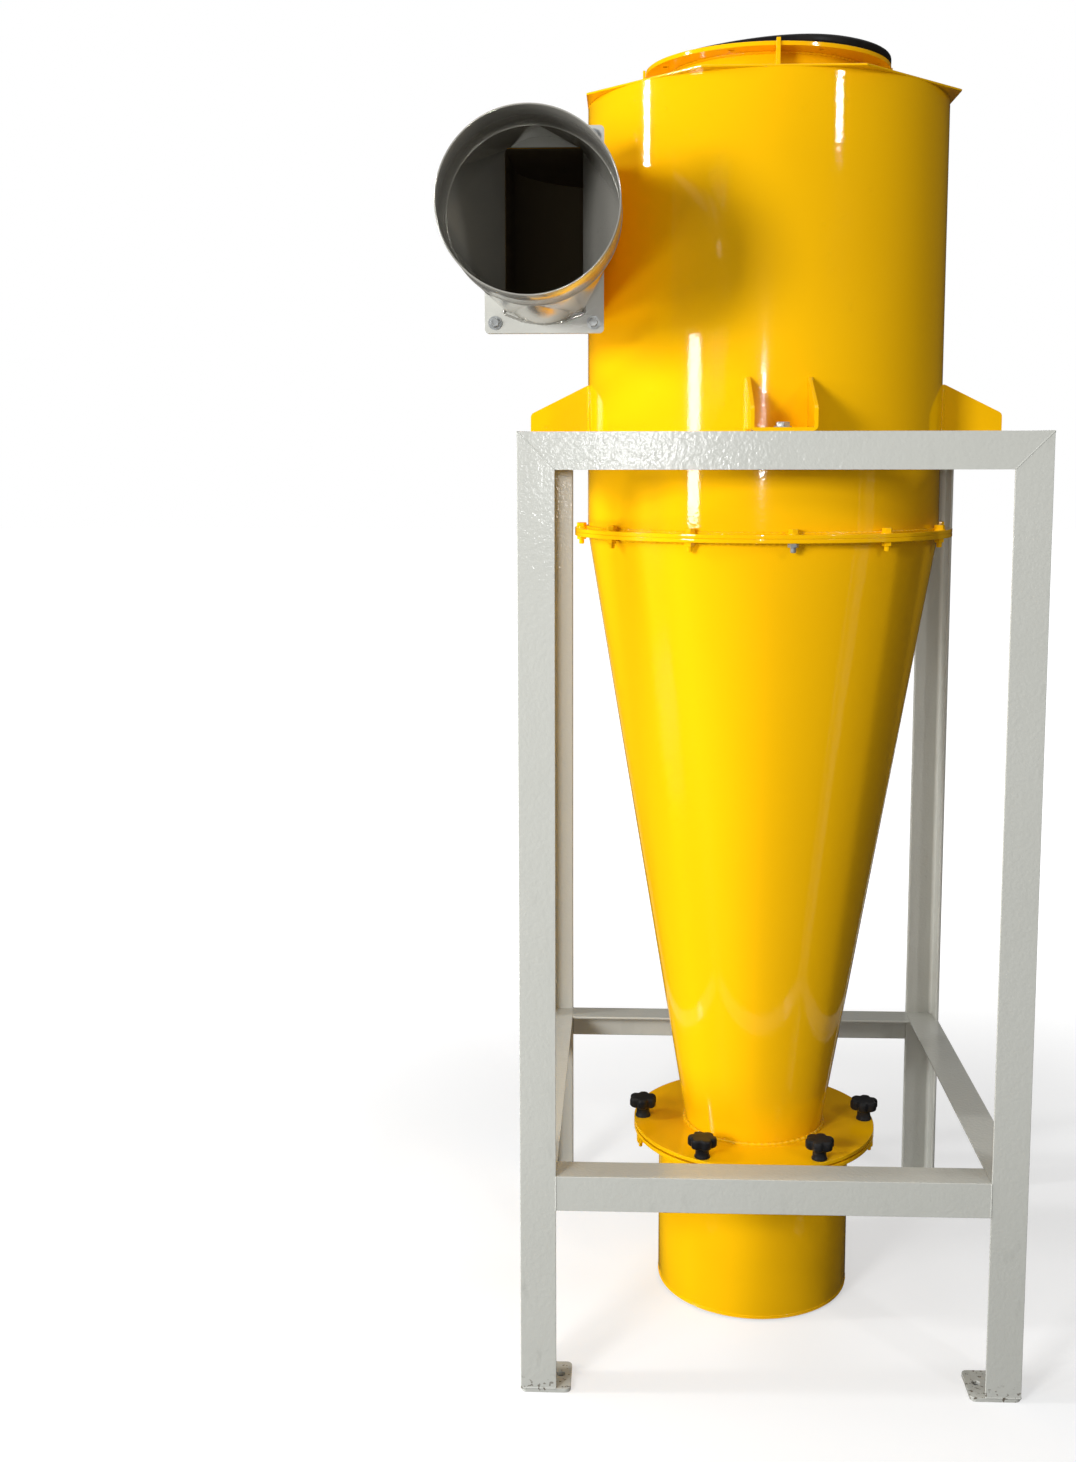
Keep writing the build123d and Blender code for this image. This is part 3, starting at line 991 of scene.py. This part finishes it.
@dataclass
class Outlet:
    """Outlet pipe, drilled ring, gussets and the rubber gasket on top."""

    sheet: float = 3.0 * MM
    edge: float = 0.8 * MM
    weld: float = 2.2 * MM
    ripples: int = 110
    gasket_sag: float = 9.0 * MM
    gasket_width: float = 18.0 * MM
    gasket_crown: float = 4.5 * MM

    def build(self) -> None:
        """Makes the pipe, the ring, the gussets, the gasket and the welds."""
        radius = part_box("outlet_pipe")[1].x
        pipe = Shape().lathe(ring_section("outlet_pipe", radius - self.sheet, radius)).ease(self.edge)
        pipe.piece("outlet_pipe_shell", YELLOW, ["outlet_pipe"], flat=False)
        ease_nodes(["outlet_flange", "outlet_gussets"], YELLOW, self.edge)
        self._gasket()
        _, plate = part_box("top_plate")
        flange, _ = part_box("outlet_flange")
        weld = self.weld
        welds = Shape().bead_ring(radius + weld * 0.4, plate.z + weld * 0.3, weld, self.ripples)
        welds.bead_ring(radius + weld * 0.3, flange.z - weld * 0.4, weld, self.ripples)
        welds.piece("outlet_welds", YELLOW, flat=False)

    def _gasket(self) -> None:
        """Spins the gasket with a round crown and presses it thin on the left."""
        low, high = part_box("outlet_gasket")
        centre = (low + high) / 2
        outer = (high.x - low.x) / 2
        inner = outer - self.gasket_width
        tall = high.z - low.z
        shape = Shape().lathe([(inner, 0), (outer, 0), (outer, tall), (inner, tall)])
        shape.ease(self.gasket_crown, segments=4)
        for vert in shape.bm.verts:
            left = 0.5 - 0.5 * vert.co.x / outer
            share = max(0.0, min(1.0, (left - 0.25) / 0.6))
            vert.co.z *= 1 - share * share * (3 - 2 * share) * self.gasket_sag / tall
        shape.moved(Matrix.Translation((centre.x, centre.y, low.z)))
        shape.piece("outlet_gasket_ring", GASKET_BLACK, ["outlet_gasket"], flat=False)


@dataclass
class Inlet:
    """Inlet box, bolted flanges, the rectangle-to-round transition and its spigot."""

    sheet: float = 2.0 * MM
    edge: float = 0.8 * MM
    lip: float = 0.7 * MM
    box_middle: Point = (0.04, 0.12, 0.0)
    duct_width: float = 105.0 * MM
    duct_height: float = 216.0 * MM
    corner: float = 8.0 * MM
    crown: float = 14.0 * MM
    flat_angle: float = 4.0
    round_steps: int = 360
    length_steps: int = 12
    bolt_edge: float = 14.0 * MM
    weld: float = 2.0 * MM
    ripple: float = 6.0 * MM
    seam_inside: float = 0.45 * MM
    seam_outside: float = 0.7 * MM
    seam_ripples: int = 150

    def build(self) -> None:
        """Makes the inlet box, the flanges, the transition, the spigot, bolts and welds."""
        low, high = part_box("inlet_flange")
        middle = (low + high) / 2 + Vector(self.box_middle)
        for node in ("scroll_wall", "scroll_top", "scroll_bottom", "inlet_inner_wall"):
            plate = Shape.of_node(node).ease(self.edge).lined(middle)
            plate.piece(f"{node}_eased", YELLOW, [node], inside=DUCT_INSIDE)
        ease_nodes(["inlet_flange"], YELLOW, self.edge)
        ease_nodes(["transition_flange"], DUCT_GREY, self.edge)
        self._transition()
        self._spigot()
        self._bolts()
        self._welds()

    def _duct_point(self, degrees: float, grow: float) -> tuple[float, float]:
        """A point of the rounded rectangle with bowed ends that matches an angle on the round end.

        Args:
            degrees: Angle round the section, from +X towards +Z.
            grow: How far the section is grown outwards.

        Returns:
            Offsets across and up from the duct's middle.
        """
        flat_x = self.duct_width / 2 - self.corner
        flat_z = self.duct_height / 2 - self.corner
        quarter = round(degrees / 90)
        away = degrees - 90 * quarter
        if abs(away) <= self.flat_angle:
            share = away / self.flat_angle
            bowed = flat_z + self.corner + grow + self.crown * (1 - share * share)
            out = [(flat_x + self.corner + grow, share * flat_z), (-share * flat_x, bowed)]
            x, z = out[quarter % 2]
            sign = 1 if quarter % 4 in (0, 1) else -1
            return sign * x, sign * z
        side = math.floor(degrees / 90)
        turn = (degrees - 90 * side - self.flat_angle) / (90 - 2 * self.flat_angle) * 90 + 90 * side
        angle = math.radians(turn)
        signs = [(1, 1), (-1, 1), (-1, -1), (1, -1)][side % 4]
        reach = self.corner + grow
        return signs[0] * flat_x + reach * math.cos(angle), signs[1] * flat_z + reach * math.sin(angle)

    def _transition(self) -> None:
        """Draws one ring out from rectangle to circle on the inside and back on the outside."""
        low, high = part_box("inlet_transition")
        collar_low, collar_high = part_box("inlet_spigot")
        hole_low, hole_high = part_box("transition_flange")
        duct = (hole_low + hole_high) / 2
        axis = (collar_low + collar_high) / 2
        radius = (collar_high.x - collar_low.x) / 2 - self.sheet
        shape = Shape()
        turn = shape.bm.verts.layers.float.new("turn")
        ring, edges = shape.circle(1.0, self.round_steps, Matrix())
        for vert in ring:
            vert[turn] = math.degrees(math.atan2(vert.co.y, vert.co.x)) % 360
        out = [(step / self.length_steps, 0.0) for step in range(self.length_steps + 1)]
        back = [(share, self.sheet) for share, _ in reversed(out)]
        for number, (share, grow) in enumerate(out + back + out[:1]):
            if number:
                ring, edges = shape.drawn(edges)
            for vert in ring:
                x, z = self._duct_point(vert[turn], grow)
                square = Vector((duct.x + x, high.y, duct.z + z))
                spot = polar(radius + grow, vert[turn], 0)
                vert.co = square.lerp(Vector((axis.x + spot.x, low.y, axis.z + spot.y)), share)
        shape.piece("inlet_transition_sheet", DUCT_SILVER, ["inlet_transition"], flat=False)

    def _spigot(self) -> None:
        """Spins the round collar with a softened lip."""
        low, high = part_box("inlet_spigot")
        axis = (low + high) / 2
        radius = (high.x - low.x) / 2
        long = high.y - low.y
        inner = radius - self.sheet
        shape = Shape().lathe([(inner, 0), (radius, 0), (radius, long), (inner, long)]).ease(self.lip)
        shape.moved(facing(FORWARD, Vector((axis.x, high.y, axis.z))))
        shape.piece("inlet_spigot_collar", DUCT_SILVER, ["inlet_spigot"], flat=False)

    def _bolts(self) -> None:
        """Sets four zinc bolts with washers in the flange's corners, with nuts behind."""
        low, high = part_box("transition_flange")
        _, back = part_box("inlet_flange")
        heads, nuts = [], []
        for x in (low.x + self.bolt_edge, high.x - self.bolt_edge):
            for z in (low.z + self.bolt_edge, high.z - self.bolt_edge):
                spin = Matrix.Rotation(math.radians(400 * x + 90 * z), 4, "Z")
                heads.append(facing(FORWARD, Vector((x, low.y, z))) @ spin)
                nuts.append(facing(FORWARD, Vector((x, back.y, z))) @ spin)
        bolts = INLET_BOLT.top().copies(heads)
        bolts.add(INLET_BOLT.tail().copies(nuts)).piece("inlet_bolts", ZINC)

    def _bow(self, share: float) -> float:
        """Height of the bowed end over half of the duct's height, at a share of its half width."""
        return 1 + self.crown * (1 - share * share) / (self.duct_height / 2 + self.sheet)

    def _welds(self) -> None:
        """Runs beads round the transition's foot and round the seam of the spigot."""
        low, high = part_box("transition_flange")
        duct = (low + high) / 2
        wide = self.duct_width / 2 + self.sheet
        tall = self.duct_height / 2 + self.sheet
        bowed = [(share, -self._bow(share)) for share in (-1, -0.5, 0, 0.5, 1)]
        outline = bowed + [(-x, -z) for x, z in bowed]
        spots = [Vector((duct.x + x * wide, low.y, duct.z + z * tall)) for x, z in outline]
        welds = Shape()
        for start, end in zip(spots, spots[1:] + spots[:1]):
            welds.bead(start, end, self.weld, self.ripple)
        collar_low, collar_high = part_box("inlet_spigot")
        axis = (collar_low + collar_high) / 2
        radius = (collar_high.x - collar_low.x) / 2
        seam = Shape().bead_ring(radius - self.sheet, 0.0, self.seam_inside, self.seam_ripples)
        seam.bead_ring(radius, 0.0, self.seam_outside, self.seam_ripples)
        seam.moved(facing(FORWARD, Vector((axis.x, collar_high.y, axis.z))))
        welds.add(seam).piece("inlet_welds", DUCT_SILVER, flat=False)


@dataclass
class DustBin:
    """Dust bin, clamp flanges, star knobs and their studs."""

    sheet: float = 3.0 * MM
    edge: float = 0.8 * MM
    mouth_radius: float = 107.8 * MM
    seal_width: float = 14.0 * MM
    seal_edge: float = 0.6 * MM
    flange_gap: float = 0.1 * MM
    knob_circle: float = 176.0 * MM
    knob_count: int = 6
    knob_steps: int = 96
    lobes: int = 6
    knob_radius: float = 20.4 * MM
    lobe_depth: float = 2.3 * MM
    hub_radius: float = 10.6 * MM
    hub_height: float = 18.0 * MM
    head_height: float = 14.0 * MM
    stud_radius: float = 4.0 * MM
    stud_tip: float = 1.0 * MM
    nut_across: float = 13.0 * MM
    nut_chamfer: float = 0.8 * MM
    weld: float = 3.0 * MM
    lug_turn: float = 12.0
    lug_inset: float = 6.0 * MM

    def build(self) -> None:
        """Makes the bin, the flanges, the seal, the knobs, nuts, lugs and welds."""
        self._shells()
        self._welds()
        self._knobs()
        self._lugs()

    def _shells(self) -> None:
        """Spins the bin, its bottom, both clamp flanges and the seal between them."""
        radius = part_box("dust_bin")[1].x
        wall = Shape().lathe(ring_section("dust_bin", radius - self.sheet, radius)).ease(self.edge)
        wall.piece("dust_bin_shell", YELLOW, ["dust_bin"], flat=False)
        disc = Shape().lathe(ring_section("bin_bottom", 0.0, radius)).ease(self.edge, 60.0)
        disc.piece("bin_bottom_disc", YELLOW, ["bin_bottom"])
        bores = {"cone_outlet_flange": self.mouth_radius, "bin_flange": radius + self.flange_gap}
        for node, inner in bores.items():
            ring = Shape().lathe(ring_section(node, inner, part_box(node)[1].x)).ease(self.edge)
            ring.piece(f"{node}_ring", YELLOW, [node])
        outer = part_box("bin_seal")[1].x
        seal = Shape().lathe(ring_section("bin_seal", outer - self.seal_width, outer)).ease(self.seal_edge)
        seal.piece("bin_seal_ring", GASKET_BLACK, ["bin_seal"])

    def _welds(self) -> None:
        """Runs beads round the cone's mouth, under the bin's flange and above its bottom."""
        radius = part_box("dust_bin")[1].x
        _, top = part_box("cone_outlet_flange")
        flange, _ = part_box("bin_flange")
        _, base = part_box("bin_bottom")
        weld = self.weld
        welds = Shape().bead_ring(self.mouth_radius + weld * 0.4, top.z + weld * 0.3, weld * 1.3, 64)
        welds.bead_ring(radius + weld * 0.2, flange.z - weld * 0.3, weld * 0.8, 100)
        welds.bead_ring(radius - 0.2 * MM, base.z + 1.5 * MM, 0.9 * MM, 60)
        welds.piece("bin_welds", YELLOW, flat=False)

    def _knob(self) -> Shape:
        """One star knob standing on Z = 0.

        Returns:
            The new shape.
        """
        base = self.hub_height
        tall = self.head_height
        steps = [
            (0.80, base - 1.5 * MM), (0.93, base), (1.0, base + 0.16 * tall),
            (1.0, base + 0.70 * tall), (0.965, base + 0.90 * tall), (0.90, base + 0.98 * tall),
            (0.80, base + tall), (0.30, base + tall),
        ]
        shape = Shape()
        ring, edges = shape.circle(self.knob_radius, self.knob_steps, Matrix())
        for vert in ring:
            angle = math.atan2(vert.co.y, vert.co.x)
            wave = math.cos(self.lobes * angle) - 0.28 * math.cos(2 * self.lobes * angle)
            vert.co = polar(self.knob_radius + self.lobe_depth * wave, math.degrees(angle), 0)
        lowest = edges
        scale, height = 1.0, 0.0
        for number, (wanted, level) in enumerate(steps):
            if number:
                ring, edges = shape.drawn(edges)
            bmesh.ops.scale(shape.bm, verts=ring, vec=(wanted / scale, wanted / scale, 1.0))
            bmesh.ops.translate(shape.bm, verts=ring, vec=(0, 0, level - height))
            scale, height = wanted, level
        bmesh.ops.holes_fill(shape.bm, edges=lowest + edges, sides=0)
        hub = [(0, 0), (1.12, 0), (1.12, 0.14), (1.0, 0.2), (0.96, 0.75), (1.3, 1.0), (0, 1.0)]
        return shape.lathe([(wide * self.hub_radius, level * base) for wide, level in hub], 40)

    def _knobs(self) -> None:
        """Sets the knobs, their studs and the nuts under the bin's flange."""
        _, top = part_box("cone_outlet_flange")
        low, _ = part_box("clamp_knobs")
        nut_low, nut_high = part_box("clamp_nuts")
        turns = [360 * step / self.knob_count for step in range(self.knob_count)]
        places = [turned(turn * 2.4 + 14, polar(self.knob_circle, turn, top.z)) for turn in turns]
        self._knob().copies(places).piece("star_knobs", KNOB_BLACK, ["clamp_knobs"], flat=False)
        reach = top.z - low.z
        wide, lip = self.stud_radius, self.stud_radius * 0.8
        over = Matrix.Rotation(math.pi, 4, "X")
        shank = [(0, 0), (wide, 0), (wide, reach - self.stud_tip), (lip, reach), (0, reach)]
        stud = Shape().lathe(shank, 20)
        stud.moved(over).copies([turned(0, polar(self.knob_circle, turn, top.z)) for turn in turns])
        nut = Shape().hexagon(self.nut_across, nut_high.z - nut_low.z, self.nut_chamfer).moved(over)
        nut.copies([turned(turn * 1.9, polar(self.knob_circle, turn, nut_high.z)) for turn in turns])
        stud.add(nut).piece("clamp_studs", ZINC, ["clamp_nuts"])

    def _lugs(self) -> None:
        """Welds two small painted nuts with studs under the bin's flange, left and right of the front."""
        low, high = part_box("bin_flange")
        turns = (180 + self.lug_turn, 360 - self.lug_turn)
        places = [turned(turn, polar(high.x - self.lug_inset, turn, low.z)) for turn in turns]
        LUG.tail().copies(places).piece("bin_lugs", YELLOW)


@dataclass(frozen=True)
class Lamp:
    """One soft lamp, aimed at the middle of the object."""

    name: str
    azimuth: float
    away: float
    height: float
    wide: float
    tall: float
    power: float
    mirrored: bool = True


LAMPS = (
    Lamp("left_window", -46.5, 3.2, 1.42, 0.40, 0.62, 17.0),
    Lamp("far_left_window", -81.5, 3.0, 2.30, 0.18, 0.7, 36.0),
    Lamp("right_window", 38.5, 3.4, 2.60, 0.20, 0.5, 18.0),
    Lamp("key", -33.0, 4.2, 1.95, 0.8, 0.8, 114.0, mirrored=False),
    Lamp("left_fill", -80.0, 3.5, 0.6, 1.5, 0.9, 34.0, mirrored=False),
    Lamp("left_low", -80.0, 1.7, 0.25, 0.5, 0.4, 14.0, mirrored=False),
    Lamp("overhead", 0.0, 0.4, 4.8, 3.0, 3.0, 24.0, mirrored=False),
    Lamp("rail_glint", -4.5, 2.55, 1.335, 0.03, 0.03, 3.6),
    Lamp("barrel_glint", -4.0, 2.55, 1.53, 0.025, 0.025, 1.1),
)


@dataclass
class Studio:
    """Camera, lamps, pale floor and white surroundings."""

    focal_px: float = 1600.506
    centre_x: float = 563.817
    centre_y: float = 659.773
    image_wide: int = 1076
    image_tall: int = 1462
    pitch: float = 0.1212
    yaw: float = 0.0409
    roll: float = -0.0011
    spot: Point = (-0.20157, -2.46786, 1.30151)
    sensor: float = 36.0
    floor_half: float = 30.0
    floor_seen: float = 0.45
    floor_dim: float = 0.20
    floor_glow: float = 0.53
    glow_near: float = 0.7
    glow_far: float = 2.2
    # Discs of painted shade on the floor under the anchor holes of the foot plates: the floor there loses
    # its glow and takes the dim colour.
    anchor: Point = (0.295, 0.312, 0.0)
    anchor_shade_radius: float = 8.0 * MM
    aim_height: float = 1.0
    hall_radius: float = 6.5
    hall_height: float = 7.0
    hall_start: float = 0.15
    hall_lift: float = 1.0 * MM
    hall_colour: Colour = (0.02, 0.02, 0.02)
    world_light: float = 0.27

    def build(self) -> None:
        """Sets the camera, the lamps, the floor, the world and the view."""
        self._camera()
        self._lamps()
        self._floor()
        self._hall()
        self._world()
        bpy.context.scene.view_settings.view_transform = "Standard"

    def _camera(self) -> None:
        """Places the camera where the photograph was taken."""
        data = bpy.data.cameras.new("camera")
        data.sensor_width = self.sensor
        data.lens = self.sensor * self.focal_px / self.image_tall
        data.shift_x = (self.image_wide / 2 - self.centre_x) / self.image_tall
        data.shift_y = (self.centre_y - self.image_tall / 2) / self.image_tall
        camera = bpy.data.objects.new("camera", data)
        bpy.context.scene.collection.objects.link(camera)
        level = Matrix(((1, 0, 0), (0, 0, -1), (0, 1, 0)))
        aim = (Matrix.Rotation(self.roll, 3, "Z") @ Matrix.Rotation(self.pitch, 3, "X")
               @ Matrix.Rotation(self.yaw, 3, "Y") @ level)
        axes = Matrix((aim[0], -aim[1], -aim[2])).transposed()
        camera.matrix_world = Matrix.Translation(self.spot) @ axes.to_4x4()
        bpy.context.scene.camera = camera

    def _lamps(self) -> None:
        """Hangs the softboxes round the object, each facing its middle."""
        aim = Vector((0, 0, self.aim_height))
        for lamp in LAMPS:
            data = bpy.data.lights.new(lamp.name, "AREA")
            data.shape = "RECTANGLE"
            data.size = lamp.wide
            data.size_y = lamp.tall
            data.energy = lamp.power
            hung = bpy.data.objects.new(lamp.name, data)
            hung.location = polar(lamp.away, Side.FRONT.value + lamp.azimuth, lamp.height)
            hung.rotation_euler = (aim - hung.location).to_track_quat("-Z", "Y").to_euler()
            hung.visible_glossy = lamp.mirrored
            bpy.context.scene.collection.objects.link(hung)

    @staticmethod
    def _shown(graph: Graph) -> Val:
        """Whether a ray shows the background: seen, mirrored or seen through glass.

        Args:
            graph: The graph to work in.

        Returns:
            1 for those rays and 0 for others.
        """
        names = ("Is Camera Ray", "Is Glossy Ray", "Is Transmission Ray")
        seen, mirrored, through = (graph.node("ShaderNodeLightPath", output=name) for name in names)
        return (seen + mirrored + through).over(0.0, 0.5)

    def _stage(self, name: str, shape: bmesh.types.BMesh) -> Graph:
        """Adds a stage object with an empty material.

        Args:
            name: The object's name.
            shape: Its mesh, which is used up.

        Returns:
            The material's graph.
        """
        mesh = bpy.data.meshes.new(name)
        shape.to_mesh(mesh)
        shape.free()
        made = bpy.data.objects.new(name, mesh)
        bpy.context.scene.collection.objects.link(made)
        skin = bpy.data.materials.new(f"{name}_skin")
        skin.use_nodes = True
        mesh.materials.append(skin)
        return Graph(skin.node_tree)

    def _floor(self) -> None:
        """Lays a wide pale floor that keeps the shadows near the object, with painted shade under the
        anchor holes of the foot plates.
        """
        shape = bmesh.new()
        bmesh.ops.create_grid(shape, x_segments=1, y_segments=1, size=self.floor_half)
        graph = self._stage("floor", shape)
        reach = graph.node("ShaderNodeVectorMath", {"operation": "LENGTH"}, {0: graph.place()}, "Value")
        glow = reach.over(self.glow_near, self.glow_far) * (1 - self.floor_glow) + self.floor_glow
        # Painted shade: inside a small disc under each anchor hole the floor gets no glow and only the dim
        # colour, standing in for the shade in the hole.
        folded = graph.node("ShaderNodeVectorMath", {"operation": "ABSOLUTE"}, {0: graph.place()})
        sockets = {0: folded, 1: self.anchor}
        bare = graph.node("ShaderNodeVectorMath", {"operation": "DISTANCE"}, sockets, "Value")
        shown = self._shown(graph) * bare.over(self.anchor_shade_radius, self.anchor_shade_radius + 1 * MM)
        seen, dim = (self.floor_seen,) * 3, (self.floor_dim,) * 3
        matt = graph.node("ShaderNodeBsdfDiffuse", {}, {"Color": graph.blend(shown, dim, seen)})
        pale = graph.blend(glow * shown, BLACK, WHITE)
        white = graph.node("ShaderNodeEmission", {}, {"Color": pale, "Strength": 1.0})
        graph.close(graph.node("ShaderNodeAddShader", {}, {0: matt, 1: white}))

    def _hall(self) -> None:
        """Stands a dark hall all round, which only the gloss of the paint mirrors."""
        shape = bmesh.new()
        outer, lift = self.hall_radius, self.hall_lift
        corners = ((self.hall_start, lift), (outer, lift), (outer, self.hall_height))
        line = [shape.verts.new((radius, 0.0, height)) for radius, height in corners]
        edges = [shape.edges.new(pair) for pair in zip(line, line[1:])]
        bmesh.ops.spin(
            shape, geom=line + edges, angle=math.tau, steps=72, axis=(0, 0, 1), cent=(0, 0, 0),
            use_merge=True,
        )
        graph = self._stage("hall", shape)
        mirrored = graph.node("ShaderNodeLightPath", output="Is Glossy Ray")
        clear = graph.node("ShaderNodeBsdfTransparent")
        dark = graph.node("ShaderNodeEmission", {}, {"Color": (*self.hall_colour, 1.0), "Strength": 1.0})
        graph.close(graph.node("ShaderNodeMixShader", {}, {0: mirrored, 1: clear, 2: dark}))

    def _world(self) -> None:
        """Surrounds the object with white that lights it gently."""
        world = bpy.data.worlds.new("white_room")
        bpy.context.scene.world = world
        world.use_nodes = True
        graph = Graph(world.node_tree)
        light = graph.blend(self._shown(graph), (self.world_light,) * 3, WHITE)
        back = graph.node("ShaderNodeBackground", {}, {"Color": light, "Strength": 1.0})
        graph.node("ShaderNodeOutputWorld", {}, {"Surface": back})


def main() -> None:
    """Builds each sub-assembly in order, then the studio."""
    logging.basicConfig(level=logging.INFO, format="%(name)s %(message)s")
    for assembly in (Stand(), Body(), Outlet(), Inlet(), DustBin()):
        log.info("building %s", type(assembly).__name__)
        assembly.build()
    Studio().build()


if __name__ == "__main__":
    main()
